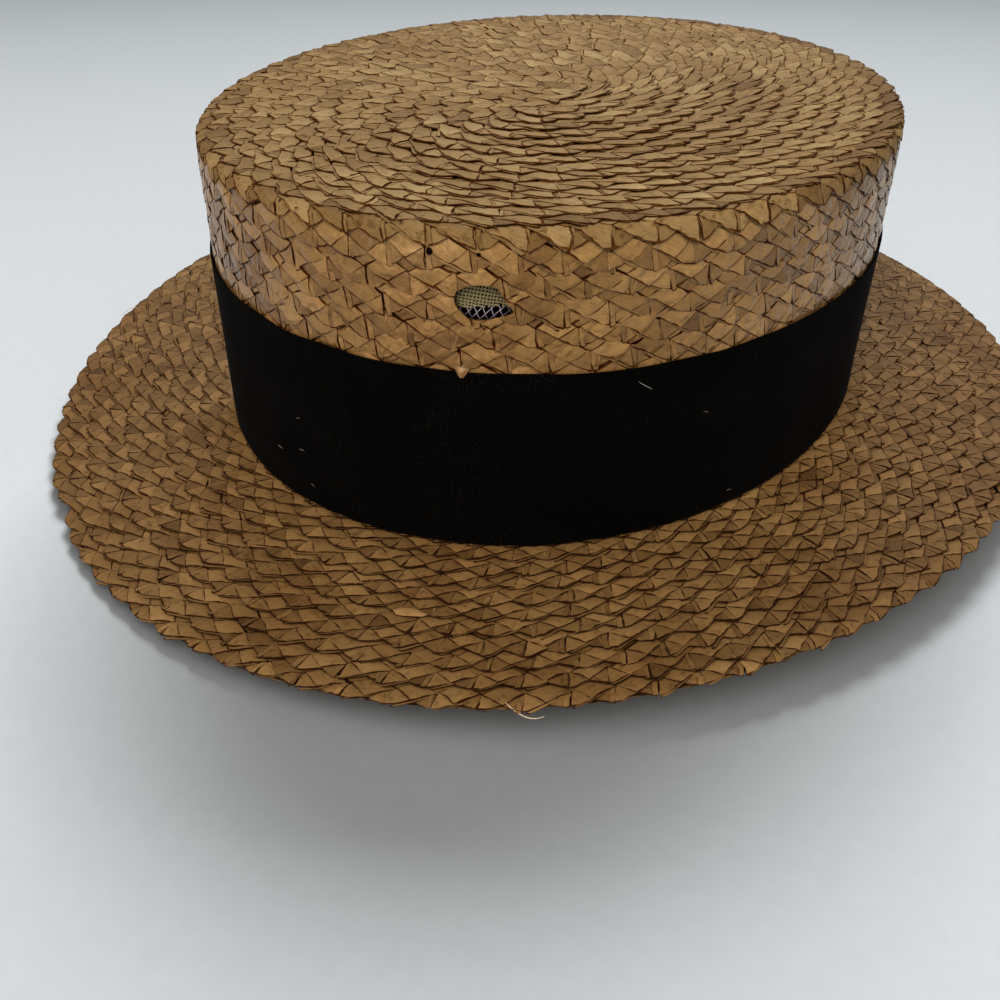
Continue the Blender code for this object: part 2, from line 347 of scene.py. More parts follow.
def plaitUnit(name, over, fine=True, mirrored=False, split=False):
    p, tooth, rise, lean = plait["pitch"], plait["tooth"], plait["strandRise"], plait["lean"]
    under = 0.04 * mm
    tip = Vector((lean, -tooth))
    crease = Vector((0.0, rise - tooth))
    nextCrease = crease + Vector((p, 0.0))
    valley = tip.lerp(nextCrease, 0.5)
    shoulder = Vector((p / 2, rise * 1.5 - tooth))
    top = Vector((0.0, rise * 2 - tooth))
    back = Vector((p, 0.0))
    tuck = (valley - back - tip) * 1.25
    wide = plait["splitPleat"] if split else plait["pleat"]
    left = Vector((-wide, 0.0))
    pleats = [tip.lerp(crease, 0.10) + Vector((-0.30 * mm, 0)), tip.lerp(crease, 0.98),
              tip.lerp(crease, 0.96) + left * 0.9, tip.lerp(crease, 0.14) + left]
    if fine:
        cuts = {"over": (2, 4), "under": (2, 3), "cross": (1, 3), "pleat": (1, 2)}
    else:
        cuts = {"over": (1, 3), "under": (1, 2), "cross": (1, 2), "pleat": (1, 1)}
    tiles = [
        {"corners": (tip, nextCrease, shoulder, crease), "lifts": (over, over * 0.75, under, over),
         "dome": plait["dome"], "arch": 0.06 * mm, "buried": (0.0, 0.9), "cuts": cuts["over"],
         "bulge": (plait["bulge"], 0.5), "blunt": plait["blunt"]},
        {"corners": (tip, tip + tuck, crease + tuck, crease), "lifts": (over, -under, -4 * under, under),
         "dome": 0.08 * mm, "arch": 0.04 * mm, "buried": (0.0, 0.8), "cuts": cuts["under"],
         "bulge": (plait["bulge"] * 0.8, 0.8), "blunt": plait["blunt"]},
        {"corners": (shoulder - back, crease, shoulder, top), "lifts": (over, over * 0.6, under, over),
         "dome": 0.06 * mm, "arch": 0.04 * mm, "buried": (0.25, 0.55), "cuts": cuts["cross"]},
        {"corners": pleats, "lifts": (over + 0.10 * mm, over * 0.5, over * 0.45, over), "thick": 0.6,
         "dome": 0.05 * mm, "arch": 0.06 * mm, "buried": (0.0, 0.4), "cuts": cuts["pleat"]},
    ]
    if fine:
        # a second straw under the tooth's edge, and a thin pleat that fans out from its tip
        edge = (nextCrease - tip).normalized()
        out = Vector((edge.y, -edge.x))
        thin = [tip + edge * 0.9 * mm + out * 0.30 * mm, nextCrease - edge * 2.6 * mm + out * 0.30 * mm,
                nextCrease - edge * 1.8 * mm - out * 0.2 * mm, tip + edge * 0.5 * mm - out * 0.2 * mm]
        far = crease + left * 1.15
        fan = [tip + Vector((-0.55 * mm, 0.5 * mm)), far + Vector((-0.2 * mm, -0.1 * mm)),
               far + Vector((-0.8 * mm, -0.3 * mm)), tip + Vector((-0.75 * mm, 0.55 * mm))]
        tiles.append({"corners": thin, "lifts": (over * 0.55, over * 0.45, over * 0.3, over * 0.4),
                      "thick": 0.6, "dome": 0.0, "arch": 0.03 * mm, "buried": (0.1, 0.6), "cuts": (1, 4),
                      "bulge": (plait["bulge"], 0.5)})
        tiles.append({"corners": fan, "lifts": (over, over * 0.42, over * 0.42, over), "thick": 0.6,
                      "dome": 0.0, "arch": 0.05 * mm, "buried": (0.0, 0.3), "cuts": (1, 1)})
    if split:
        # the crossing strand is a cushion of its own
        short = (tip, valley + (nextCrease - tip) * 0.05, crease.lerp(shoulder, 0.3), crease)
        tiles[0].update(corners=short, buried=(0.0, 0.35), cuts=(2, 3))
        tiles[1]["cuts"] = (2, 2)
        cushion = [valley.lerp(tip, 0.04), nextCrease, shoulder, crease + Vector((0.15 * mm, 0.1 * mm))]
        tiles.append({"corners": cushion, "lifts": (over, over * 0.8, over * 0.4, over), "thick": 0.8,
                      "dome": 2.1 * plait["dome"], "arch": 0.18 * mm, "buried": (0.0, 0.5), "cuts": (2, 2)})
    bm = bmesh.new()
    layers = {key: bm.verts.layers.float.new(key) for key in strandKeys}
    for k, spec in enumerate(tiles):
        strandTile(bm, {**spec, "tile": k, "thick": plait["thick"] * spec.get("thick", 1.0)}, layers)
    if mirrored:
        bmesh.ops.scale(bm, vec=(-1, 1, 1), verts=bm.verts)
    bmesh.ops.recalc_face_normals(bm, faces=bm.faces)
    return closeMesh(bm, name)


def addObject(name, mesh):
    obj = bpy.data.objects.new(name, mesh)
    bpy.context.scene.collection.objects.link(obj)
    return obj


# Repeats the unit along x with an Array, applied
def plaitStrip(unitMesh, count):
    obj = addObject(unitMesh.name, unitMesh)
    array = obj.modifiers.new("rows", "ARRAY")
    array.count = count
    array.use_relative_offset = False
    array.use_constant_offset = True
    array.constant_offset_displace = (plait["pitch"], 0, 0)
    done = bpy.data.meshes.new_from_object(obj.evaluated_get(bpy.context.evaluated_depsgraph_get()))
    obj.modifiers.clear()
    obj.data = done
    bpy.data.meshes.remove(unitMesh)
    return obj


def readFloats(mesh, name, shape):
    values = np.empty(len(mesh.vertices), np.float32)
    mesh.attributes[name].data.foreach_get("value", values)
    mesh.attributes.remove(mesh.attributes[name])
    return values.astype(float).reshape(shape)


def writeAttribute(mesh, name, kind, values):
    layer = mesh.attributes.get(name) or mesh.attributes.new(name, kind, "POINT")
    key = "vector" if kind == "FLOAT_VECTOR" else "value"
    layer.data.foreach_set(key, values.reshape(-1).astype(np.float32))


def placeVertices(mesh, points):
    mesh.vertices.foreach_set("co", points.reshape(-1).astype(np.float32))
    mesh.update()


def readVertices(mesh):
    co = np.empty(len(mesh.vertices) * 3, np.float32)
    mesh.vertices.foreach_get("co", co)
    return co.reshape(-1, 3).astype(float)


# Cuts the hole in a mesh that is still flat, with the turn as x, the profile distance as y and the height
# as z. Faces near it are divided, those inside go, and what still reaches in moves back to its edge.
def cutHole(mesh, margin=1.0):
    bm = openMesh(mesh)

    def shares():
        co = np.array([v.co for v in bm.verts])
        bm.verts.index_update()
        return fromHole(co[:, 1], co[:, 0])[2] / margin

    share = shares()
    near = {e for f in bm.faces if min(share[v.index] for v in f.verts) < 1.7 for e in f.edges}
    bmesh.ops.subdivide_edges(bm, edges=list(near), cuts=3, use_grid_fill=True)
    share = shares()
    inside = [f for f in bm.faces if all(share[v.index] < 1.0 for v in f.verts)]
    bmesh.ops.delete(bm, geom=inside, context="FACES")
    co = np.array([v.co for v in bm.verts])
    s, turn = clearHole(co[:, 1], co[:, 0], margin)
    for v, newTurn, newS in zip(bm.verts, turn, s):
        v.co.x, v.co.y = newTurn, newS
    closeMesh(bm, mesh)


# Lays a straight strip on the hat. path gives, for a length along the plait, the turn and the profile
# distance of the row's valleys. outward says which way the teeth point, face which side shows.
def layPlait(obj, count, path, surface, look):
    mesh = obj.data
    co = readVertices(mesh).reshape(count, -1, 3)
    along, across, tile, buried = [readFloats(mesh, key, co.shape[:2]) for key in strandKeys]
    tile = np.rint(tile).astype(int)
    rng = np.random.default_rng(look["seed"])

    # each tile gets its own lift at four corners, a small shift and a turn; some teeth stand up
    kinds = tile.max() + 1
    lifts = rng.normal(0, look["loose"], (count, kinds, 4))
    stand = (rng.random(count) < look["raisedShare"]) * np.abs(rng.normal(0, look["raise"], count))
    for k in (0, 1, 3):
        lifts[:, k, 0] += stand
    shifts = rng.normal(0, look["shift"], (count, kinds, 2))
    tilt = rng.normal(0, look["turn"], (count, kinds))
    row = np.arange(count)[:, None]
    pick = lifts[row, tile]
    z = co[..., 2] + pick[..., 0] * (1 - along) * (1 - across) + pick[..., 1] * along * (1 - across)
    z = z + pick[..., 2] * along * across + pick[..., 3] * (1 - along) * across
    middle = np.stack([co[:, tile[0] == k, :2].mean(axis=1) for k in range(kinds)], axis=1)
    centre = middle[row, tile]
    off = co[..., :2] - centre
    turnBy = tilt[row, tile]
    shifted = centre + shifts[row, tile]
    x = shifted[..., 0] + off[..., 0] * np.cos(turnBy) - off[..., 1] * np.sin(turnBy)
    y = shifted[..., 1] + off[..., 0] * np.sin(turnBy) + off[..., 1] * np.cos(turnBy)

    # the row wanders, its teeth drift and differ, and every edge is a little crumpled
    flat = np.stack([x, y, 0 * x], axis=-1)
    slow = spaceNoise(flat * (1, 0, 0), 22 * mm, look["seed"])
    x = x + look["drift"] * slow[..., 0]
    y = y + look["wander"] * slow[..., 1]
    toothSize = 1 + look["uneven"] * spaceNoise(flat * (1, 0, 0), 9 * mm, look["seed"] + 1, 1)[..., 0]
    y = np.where(y < 0, y * toothSize, y)
    crumple = spaceNoise(flat, 3.2 * mm, look["seed"] + 2)
    own = np.stack([0 * x, 0 * x, (tile + 0.37) * 3.1 * mm], axis=-1)  # each tile crumples on its own too
    own = spaceNoise(flat + own, 1.7 * mm, look["seed"] + 3)
    x = x + look["crumple"] * (crumple[..., 0] + 0.45 * own[..., 0])
    y = y + look["crumple"] * (crumple[..., 1] + 0.45 * own[..., 1])
    z = z + look["crumpleUp"] * (crumple[..., 2] + 0.6 * own[..., 2])

    turn, start = path(x)
    if look["spread"]:
        y = y * (1 + look["spread"] * (crownRow(start) / look["row"] - 1))
    if "lastTooth" in look:
        y = np.where((y < 0) & (start > look["lastFrom"]), y * look["lastTooth"], y)
    s = start - look["outward"] * y
    down = np.clip((y + plait["tooth"]) / (look["row"] + plait["tooth"]), -0.2, 1.6)
    h = look["level"] + look["face"] * (look["rise"] * (1 - down) + z)
    s = np.clip(s, look.get("least", -1.0), look.get("most", 1.0) + 0.35 * mm * crumple[..., 0])
    h = np.maximum(h, look.get("lowest", -1.0))
    if "tucked" in look:
        # the wall's first row tucks in under the tip's last one
        h = h - 0.4 * mm * smoothStep((y - 1.2 * mm) / (2.0 * mm)) * (x < look["tucked"])

    # painted shade: tiles that lie deeper are darker, and those on top are paler
    shade = np.array((0, -0.08, 0.06, -0.06, -0.12, 0.0, 0.10))[:kinds]
    tone = rng.normal(look["tone"], look["toneSpread"], (count, kinds)) + shade
    # the tip's worn edge is browner
    worn = smoothStep((start.mean(axis=1)[:, None] - look["edgeFrom"]) / (4.0 * mm))
    tone = np.clip(tone - look["edgeTone"] * worn, 0, 0.78)
    seed = rng.random((count, kinds)) * 50
    writeAttribute(mesh, "strand", "FLOAT_VECTOR", np.stack([along, across, seed[row, tile]], axis=-1))
    writeAttribute(mesh, "tone", "FLOAT", tone[row, tile])
    writeAttribute(mesh, "buried", "FLOAT", buried)
    placeVertices(mesh, np.stack([turn, s, h], axis=-1))
    if look.get("holed"):
        cutHole(mesh, look.get("margin", 1.0))
    turn, s, h = readVertices(mesh).T
    placeVertices(mesh, surface(s, turn, h))
    if look["face"] < 0:
        mesh.flip_normals()


# Makes a function of length along the plait from a list of turns and places
def measuredPath(turns, places, surface):
    points = surface(places, turns, 0 * places)
    steps = np.linalg.norm(np.diff(points, axis=0), axis=1)
    lengths = np.concatenate([[0.0], np.cumsum(steps)])

    def path(x):
        return np.interp(x, lengths, turns), np.interp(x, lengths, places)
    return path, lengths[-1]


# One spiral over the crown: a row wider at each turn. It passes knownPlace at knownTurn.
def spiralPath(first, last, rowAt, knownTurn, knownPlace, surface):
    step = math.radians(1.0)
    turns, places = [knownTurn], [knownPlace]
    while places[-1] < last:
        turns.append(turns[-1] + step)
        places.append(places[-1] + rowAt(places[-1]) * step / (2 * math.pi))
    while places[0] > first:
        turns.insert(0, turns[0] - step)
        places.insert(0, places[0] - rowAt(places[0]) * step / (2 * math.pi))
    return measuredPath(np.array(turns), np.array(places), surface)


# Rings that step out by one row at the back, so that the brim's edge is even
def ringPath(valleys, surface, joinTurn=math.radians(96), joinShare=0.05):
    steps = 360
    index = np.arange(len(valleys) * steps + 1)
    ring = np.minimum(index // steps, len(valleys) - 1)
    after = np.minimum(ring + 1, len(valleys) - 1)
    part = index / steps - ring
    rise = smoothStep((part - 1 + joinShare) / joinShare)
    valleys = np.array(valleys)
    places = valleys[ring] + (valleys[after] - valleys[ring]) * rise
    return measuredPath(joinTurn + index * 2 * math.pi / steps, places, surface)


def finishPiece(obj, material, node, sharp=40):
    obj.data.materials.clear()
    obj.data.materials.append(material)
    obj.data.shade_smooth()
    obj.data.set_sharp_from_angle(angle=math.radians(sharp))
    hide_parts(node)
    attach(obj, "root")


def makePlait(unit, length, path, surface, look, material, node):
    count = int(length / plait["pitch"])
    obj = plaitStrip(unit, count)
    layPlait(obj, count, path, surface, look)
    finishPiece(obj, material, node)


# Crown outside: one spiral from the middle of the tip, over the corner and down under the ribbon.
# "seed" starts the random draws.
crownPlait = {
    # the rows' widths at these places of the profile
    "rowPlaces": (0.0, 46 * mm, 68 * mm, cornerStart, cornerStart + 0.5 * mm),
    "rowWidths": (6.6 * mm, 6.4 * mm, 4.65 * mm, 4.65 * mm, 5.2 * mm),
    "row": 4.8 * mm,
    "spread": 0.6,  # how far the strands stretch with their row
    "rise": 0.50 * mm,  # teeth lie this much over the valleys
    "level": -0.56 * mm,
    "face": 1.0,
    "outward": 1.0,
    "loose": 0.05 * mm,  # a strand's corners up or down
    "raisedShare": 0.15,  # teeth that stand up, and how far
    "raise": 0.22 * mm,
    "shift": 0.14 * mm,
    "turn": math.radians(2.5),
    "drift": 1.2 * mm,  # the row strays along itself and across
    "wander": 0.35 * mm,
    "uneven": 0.30,  # share that a tooth is longer or shorter
    "crumple": 0.38 * mm,
    "crumpleUp": 0.13 * mm,
    "tone": 0.50,
    "toneSpread": 0.13,
    "edgeFrom": cornerStart - 5.5 * mm,  # the worn edge's browner tone starts here
    "edgeTone": 0.30,
    "seed": 11,
}
wallPlait = dict(crownPlait, edgeFrom=1.0, rise=0.32 * mm, level=-0.36 * mm, loose=0.04 * mm, raisedShare=0.1,
                 spread=0.0, row=5.2 * mm, crumple=0.34 * mm, crumpleUp=0.16 * mm, toneSpread=0.17,
                 holed=True, tucked=585 * mm, seed=17)
# The last tip row's teeth end just inside the corner at the front
crownPhase = {"turn": math.radians(-90), "inset": 2.4 * mm}
crownEnd = wallStart + (tipZ - hat["cornerRadius"] - bandHigh.z) + 9.0 * mm


def crownRow(s):
    return np.interp(s, crownPlait["rowPlaces"], crownPlait["rowWidths"])


def crownSpiral(first, last):
    known = (crownPhase["turn"], cornerStart - crownPhase["inset"])
    return spiralPath(first, last, crownRow, *known, crownPoint)


def makeCrownOutside(tipMaterial, wallMaterial):
    path, total = crownSpiral(0.8 * mm, crownEnd)
    # the tip and the wall are two pieces of one plait, so that neither is too heavy
    tipLength = crownSpiral(0.8 * mm, wallStart + 2.6 * mm)[1]
    for name, begin, end, over, look, material in (
            ("crown_tip_plait", 0.0, tipLength, 0.26 * mm, crownPlait, tipMaterial),
            ("crown_wall_plait", tipLength, total, 0.22 * mm, wallPlait, wallMaterial)):
        unit = plaitUnit(name, over, True, True, look is wallPlait)
        makePlait(unit, end - begin, lambda x: path(x + begin), crownPoint, look, material, "crown")


# A plait's back, simpler, its teeth turned the other way
backLook = {"outward": -1.0, "face": -1.0, "level": -1.75 * mm, "rise": 0.45 * mm, "crumpleUp": 0.05 * mm,
            "raisedShare": 0.0}


def makeCrownInside(material):
    look = {**crownPlait, **backLook, "least": 0.4 * mm, "holed": True, "margin": 1.3, "seed": 23}
    end = wallStart + tipZ - hat["cornerRadius"] - footZ - 2.5 * mm
    corner = cornerStart - hat["wallThick"]
    path, total = crownSpiral(4.0 * mm, end)
    tipLength = crownSpiral(4.0 * mm, corner)[1]
    insideStart = crownSpiral(4.0 * mm, wallStart + 2.5 * mm)[1]
    wallLimits = {"least": wallStart + 1.6 * mm, "most": end + 2.0 * mm}
    for name, begin, stop, limits in (
            ("crown_tip_inside", 0.0, tipLength, {"most": corner + 2.0 * mm}),
            ("crown_wall_inside", insideStart, total, wallLimits)):
        unit = plaitUnit(name, 0.16 * mm, False, True)
        limited = {**look, **limits}
        makePlait(unit, stop - begin, lambda x: path(x + begin), crownPoint, limited, material, "crown")


# A closed shell between two heights over a profile: the straw between the two faces of plait, which is given
# a dark colour as painted shade where it shows between strands
def surfaceShell(name, surface, places, top, thick, segments=180, holed=False):
    bm = bmesh.new()
    bmesh.ops.create_grid(bm, x_segments=segments, y_segments=len(places) - 1, size=0.5)
    mesh = closeMesh(bm, name)
    co = readVertices(mesh)
    turn = (co[:, 0] + 0.5) * 2 * math.pi
    s = np.array(places)[np.rint((co[:, 1] + 0.5) * (len(places) - 1)).astype(int)]
    placeVertices(mesh, np.stack([turn, s, 0 * s + top], axis=-1))
    if holed:
        cutHole(mesh, 1.2)
    bm = openMesh(mesh)
    made = bmesh.ops.extrude_face_region(bm, geom=bm.faces, use_keep_orig=True)["geom"]
    under = [v for v in made if isinstance(v, bmesh.types.BMVert)]
    bmesh.ops.translate(bm, vec=(0, 0, -thick), verts=under)
    # no side faces where the strip meets itself, at the seam and in the middle of the tip
    ends = [f for f in bm.faces if all(abs(v.co.x) < 1e-5 for v in f.verts)
            or all(abs(v.co.x - 2 * math.pi) < 1e-5 for v in f.verts)
            or all(abs(v.co.y) < 1e-8 for v in f.verts)]
    bmesh.ops.delete(bm, geom=ends, context="FACES")
    closeMesh(bm, mesh)
    turn, s, h = readVertices(mesh).T
    placeVertices(mesh, surface(s, turn, h))
    bm = openMesh(mesh)
    bmesh.ops.remove_doubles(bm, verts=bm.verts, dist=0.02 * mm)
    bmesh.ops.recalc_face_normals(bm, faces=bm.faces)
    return addObject(name, closeMesh(bm, mesh))


def makeCores(material):
    wallEnd = wallStart + tipZ - hat["cornerRadius"] - footZ
    tip = list(np.linspace(0.0, cornerStart, 30))
    corner = list(np.linspace(cornerStart, wallStart, 5)[1:])
    wall = list(np.linspace(wallStart, wallEnd, 34)[1:])
    crown = surfaceShell("crown_core", crownPoint, tip + corner + wall, -0.95 * mm, 0.45 * mm, 240, True)
    finishPiece(crown, material, "crown")
    across = list(np.linspace(-hat["wallThick"] + 0.1 * mm, brimWidth - 1.7 * mm, 18))
    brim = surfaceShell("brim_core", brimPoint, across, -1.0 * mm, 0.5 * mm)
    finishPiece(brim, material, "brim")


# Brim top: rows run out from under the ribbon. Its last row is pressed and has short teeth.
brimPlait = dict(crownPlait, spread=0.0, row=4.9 * mm, rise=0.78 * mm, level=-0.74 * mm, raisedShare=0.25,
                 crumple=0.25 * mm, seed=31, lastTooth=0.5, lastFrom=brimWidth - 3.0 * mm, least=-0.3 * mm)


def brimValleys(outermost):
    rows = int((outermost + 1.5 * mm) / brimPlait["row"])
    return [outermost - k * brimPlait["row"] for k in range(rows, -1, -1)]


def makeBrimTop(material):
    path, total = ringPath(brimValleys(brimWidth - brimPlait["lastTooth"] * plait["tooth"]), brimPoint)
    unit = plaitUnit("brim_top_plait", 0.28 * mm, split=True)
    makePlait(unit, total, path, brimPoint, brimPlait, material, "brim")


def makeBrimUnder(material):
    look = {**brimPlait, **backLook, "least": -hat["wallThick"], "most": brimWidth - 1.7 * mm,
            "lowest": -hat["brimThick"], "seed": 37}
    look.pop("lastTooth")
    path, total = ringPath(brimValleys(brimWidth - 2.6 * mm), brimPoint)
    unit = plaitUnit("brim_under_plait", 0.16 * mm, False)
    makePlait(unit, total, path, brimPoint, look, material, "brim")


# Ribbon: one strip of black grosgrain, pulled round the crown and lapped at the back
ribbon = {
    "low": 0.5 * mm,  # its lower edge stands off the brim
    "lowStray": 0.25 * mm,  # neither edge is quite straight
    "topStray": 0.3 * mm,
    "top": 50.0 * mm,  # its upper edge, which sinks towards the right
    "sink": 1.8 * mm,
    "thick": 0.5 * mm,
    "off": 0.45 * mm,  # inner face from the straw
    "slack": 0.18 * mm,
    "lap": 22 * mm,
    "lapOff": 0.25 * mm,
    "ribPitch": 0.80 * mm,
    "ribDepth": 0.13 * mm,
    "ribColumns": 4,
    "rows": 7,
}


# Woven black ribbon: ribbed and matt, with the faintest sheen, dust in patches, and painted shade in the
# grooves between ribs
def ribbonMaterial():
    material, add, shader = newMaterial("black_grosgrain")
    coord = add("TexCoord", get="Object")
    place = add("Attribute", {"attribute_name": "ribbon"}, "Vector")
    rib = add("SeparateXYZ", get="X", Vector=place)
    # lint and dust, thicker in patches
    patch = add("TexNoise", Vector=coord, Scale=1 / (16.67 * mm), Detail=3.0)
    grain = add("TexNoise", Vector=coord, Scale=1 / (0.3846 * mm), Detail=2.0, Roughness=0.7)
    patch = add("ValToRGB", {"stops": [(0.42, 0.12), (0.7, 1.0)]}, Fac=patch)
    dust = add("ValToRGB", {"stops": [(0.52, 0.0), (0.72, 1.0)]}, Fac=grain)
    dust = add("Math", {"operation": "MULTIPLY"}, i0=patch, i1=dust)
    dust = add("Math", {"operation": "MULTIPLY"}, i0=dust, i1=0.22)
    color = add("Mix", cover, mixed, i0=dust, i6="020202", i7="3a352f")
    # painted shade: the grooves between ribs are darkened
    groove = add("ValToRGB", {"stops": [(0.0, 0.25), (0.5, 1.0)]}, Fac=rib)
    color = add("Mix", multiply, mixed, i0=0.8, i6=color, i7=groove)
    yarn = add("Bump", Strength=0.5, Distance=0.06 * mm, Height=grain)
    feed(shader, Base_Color=color, Roughness=0.85, Specular_IOR_Level=0.02, Sheen_Weight=0.012,
         Sheen_Roughness=0.4, Normal=yarn)
    return material


def makeRibbon(material):
    back = math.pi / 2
    halfLap = 0.5 * ribbon["lap"] / footHalf
    start, end = back - halfLap, back + 2 * math.pi + halfLap
    turns = np.linspace(start, end, 1440)
    middle = crownPoint(0 * turns + cornerStart + 50 * mm, turns, 0 * turns)
    lengths = np.concatenate([[0.0], np.cumsum(np.linalg.norm(np.diff(middle, axis=0), axis=1))])
    ribs = round(lengths[-1] / ribbon["ribPitch"])
    columns = ribs * ribbon["ribColumns"]
    bm = bmesh.new()
    bmesh.ops.create_grid(bm, x_segments=columns, y_segments=ribbon["rows"], size=0.5)
    bmesh.ops.solidify(bm, geom=bm.faces[:], thickness=-ribbon["thick"])
    mesh = closeMesh(bm, "ribbon_grosgrain")
    along, up, layer = (readVertices(mesh) + (0.5, 0.5, 0.0)).T
    turn = np.interp(along * lengths[-1], lengths, turns)
    rib = 0.5 - 0.5 * np.cos(2 * math.pi * along * ribs)
    outer = np.abs(layer) / ribbon["thick"]
    edge = np.stack([along, 0 * up, 0 * up], -1)
    low = footZ + ribbon["low"] + ribbon["lowStray"] * spaceNoise(edge, 0.02, 5, 1)[:, 0]
    top = ribbon["top"] - ribbon["sink"] * np.maximum(np.cos(turn), -0.4)
    top = top + ribbon["topStray"] * spaceNoise(edge, 0.018, 6, 1)[:, 0]
    z = low + (top - low) * up + 0.10 * mm * rib * np.sign(up - 0.5) * (np.abs(up - 0.5) > 0.49)
    lapped = smoothStep((turn - (end - 3 * halfLap)) / halfLap)
    around = np.stack([along * 560 * mm, z, 0 * z], -1)
    off = ribbon["off"] + ribbon["slack"] * spaceNoise(around, 24 * mm, 7, 1)[:, 0]
    off = off + lapped * (ribbon["thick"] + ribbon["lapOff"])
    off = off + outer * (ribbon["thick"] - ribbon["ribDepth"] * (1 - rib))
    s = wallStart + (tipZ - hat["cornerRadius"] - z)
    placeVertices(mesh, crownPoint(s, turn, off))
    writeAttribute(mesh, "ribbon", "FLOAT_VECTOR", np.stack([rib, up, outer], -1))
    bm = openMesh(mesh)
    bmesh.ops.recalc_face_normals(bm, faces=bm.faces)
    obj = addObject("ribbon_grosgrain", closeMesh(bm, mesh))
    finishPiece(obj, material, "hat_band", 60)


# Gauze behind the hole: a fine khaki weave, worn away at its lower edge to a coarse pale net
gauze = {
    "width": 23.0 * mm,
    "height": 19.0 * mm,
    "pitch": 0.66 * mm,
    "thread": 0.27 * mm,
    "slant": 0.16,
    "depth": -2.75 * mm,
    "belly": 1.5 * mm,  # it bulges into the hole
    "netPitch": 1.75 * mm,
    "netThread": 0.11 * mm,
    "tornUp": -1.2 * mm,  # height of the torn edge over the hole's middle
    "tornSlope": 0.25,
    "tornHalf": 8.0 * mm,  # whole cloth begins this far to each side
    "netRun": 7.0 * mm,  # the net hangs this far below the torn edge
    "netBack": -0.25 * mm,
}


# Spun cotton, and dried fibre: matt, with fuzz of about half a millimetre that breaks up the colour
def threadMaterial(name, color, rough=0.8):
    material, add, shader = newMaterial(name)
    coord = add("TexCoord", get="Object")
    fuzz = add("TexNoise", Vector=coord, Scale=1 / (0.4545 * mm), Detail=2.0)
    fuzz = add("ValToRGB", {"stops": [(0.3, 0.6), (0.7, 1.2)]}, Fac=fuzz)
    tinted = add("Mix", multiply, mixed, i0=1.0, i6=color, i7=fuzz)
    feed(shader, Base_Color=tinted, Roughness=rough)
    return material


# Square threads between pairs of points on the patch, with a small wave over and under
def addThread(bm, begin, finish, width, steps, wave):
    ends = [Vector(begin), Vector(finish)]
    side = (ends[1] - ends[0]).normalized().cross(Vector((0, 0, 1))) * width * 0.5
    up = Vector((0, 0, width * 0.4))
    rings = []
    for i in range(steps + 1):
        at = ends[0].lerp(ends[1], i / steps)
        at.z += wave * (-1) ** i
        rings.append([bm.verts.new(at + p) for p in (side - up, side + up, -side + up, -side - up)])
    for one, two in zip(rings, rings[1:]):
        for k in range(4):
            bm.faces.new((one[k], one[(k + 1) % 4], two[(k + 1) % 4], two[k]))
    bm.faces.new(rings[0][::-1])
    bm.faces.new(rings[-1])


def makeGauze(weaveMaterial, netMaterial):
    w, h, pitch = gauze["width"] / 2, gauze["height"] / 2, gauze["pitch"]
    tornUp, slope, half, thread = gauze["tornUp"], gauze["tornSlope"], gauze["tornHalf"], gauze["thread"]
    rng = np.random.default_rng(41)
    bm = bmesh.new()
    for i in range(int(2 * w / pitch) + 1):
        x = -w + i * pitch
        low = max(tornUp + slope * x + rng.normal(0, 0.25 * mm), -h) if abs(x) < half else -h
        steps = max(2, int((h - low) / pitch))
        addThread(bm, (x, h, 0), (x, h - steps * pitch, 0), thread, steps, 0.06 * mm * (-1) ** i)
    for j in range(int(2 * h / pitch) + 1):
        y = h - j * pitch
        torn = max(-half, min(half, (y - tornUp) / slope))
        for begin, finish in ((-w, min(torn, w)), (half, w)) if torn < half else ((-w, w),):
            steps = max(1, int((finish - begin) / pitch))
            last = (begin + steps * pitch, y, 0)
            addThread(bm, (begin, y, 0), last, thread, steps, -0.06 * mm * (-1) ** j)
    woven = len(bm.faces)
    # the net: two families of slanting threads that cross in diamonds
    run = gauze["netRun"]
    for k in range(-8, 9):
        x = k * gauze["netPitch"]
        for lean in (-1, 1):
            begin = (x - lean * run * 0.35, tornUp + 1.0 * mm, gauze["netBack"])
            finish = (x + lean * run * 0.35, tornUp - run, gauze["netBack"])
            addThread(bm, begin, finish, gauze["netThread"], 10, 0.03 * mm * lean)
    for i, face in enumerate(bm.faces):
        face.material_index = 0 if i < woven else 1
    bmesh.ops.recalc_face_normals(bm, faces=bm.faces)
    mesh = closeMesh(bm, "lining_gauze_weave")
    co = readVertices(mesh)
    warp = spaceNoise(co, 3 * mm, 43) * 0.36 * mm
    across = co[:, 0] + warp[:, 0] + gauze["slant"] * co[:, 1]
    up = co[:, 1] + warp[:, 1] - gauze["slant"] * co[:, 0]
    near = np.clip(1.6 - (across / (6.5 * mm)) ** 2 - (up / (4.5 * mm)) ** 2, 0, 1)
    height = gauze["depth"] + gauze["belly"] * near ** 1.5 + co[:, 2] + warp[:, 2] * near
    placeVertices(mesh, crownPoint(wallPlace(hole["down"]) - up, hole["turn"] + across / holeReach, height))
    obj = addObject("lining_gauze_weave", mesh)
    keep = np.array([p.material_index for p in mesh.polygons])
    finishPiece(obj, weaveMaterial, "lining_gauze")
    mesh.materials.append(netMaterial)
    mesh.polygons.foreach_set("material_index", keep)


# Stray bits: a curved fibre or thread, thin at its ends
def addFibre(name, points, radius, material, cuts=4):
    curve = bpy.data.curves.new(name, "CURVE")
    curve.dimensions = "3D"
    curve.bevel_depth = radius
    curve.bevel_resolution = 1
    curve.resolution_u = cuts
    spline = curve.splines.new("NURBS")
    spline.points.add(len(points) - 1)
    for i, (point, at) in enumerate(zip(spline.points, points)):
        point.co = (*at, 1.0)
        point.radius = 0.35 + 0.65 * math.sin(math.pi * i / (len(points) - 1))
    spline.order_u = 4
    spline.use_endpoint_u = True
    curve.materials.append(material)
    obj = addObject(name, curve)
    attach(obj, "root")


